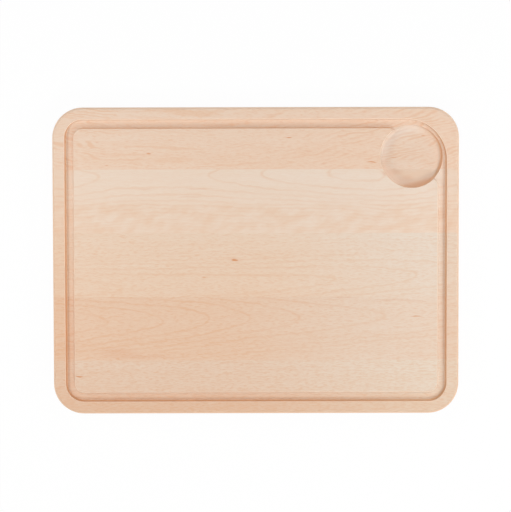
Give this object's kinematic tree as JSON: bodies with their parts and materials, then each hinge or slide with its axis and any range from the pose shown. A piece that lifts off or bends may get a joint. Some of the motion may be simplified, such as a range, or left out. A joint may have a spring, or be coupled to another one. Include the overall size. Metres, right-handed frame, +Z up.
{
  "type": "serving board",
  "caption": "Rectangular edge-glued beech serving board with a juice groove all round and a round well in one corner.",
  "frame": {"origin": "middle of the flat underside", "axes": "+X along the grain and the board's length, the well at the +X end; +Y to the rear edge, where the well is; +Z up, out of the grooved face"},
  "size_m": [0.4, 0.302, 0.02],
  "materials": {
    "stave_1": "sanded and lightly oiled beech, grain along X",
    "stave_2": "sanded and lightly oiled beech, grain along X",
    "stave_3": "sanded and lightly oiled beech, grain along X",
    "stave_4": "sanded and lightly oiled beech, grain along X",
    "stave_5": "sanded and lightly oiled beech, grain along X"
  },
  "bodies": {
    "root": {"stave_1": "stave_1", "stave_2": "stave_2", "stave_3": "stave_3", "stave_4": "stave_4", "stave_5": "stave_5"}
  },
  "joints": []
}
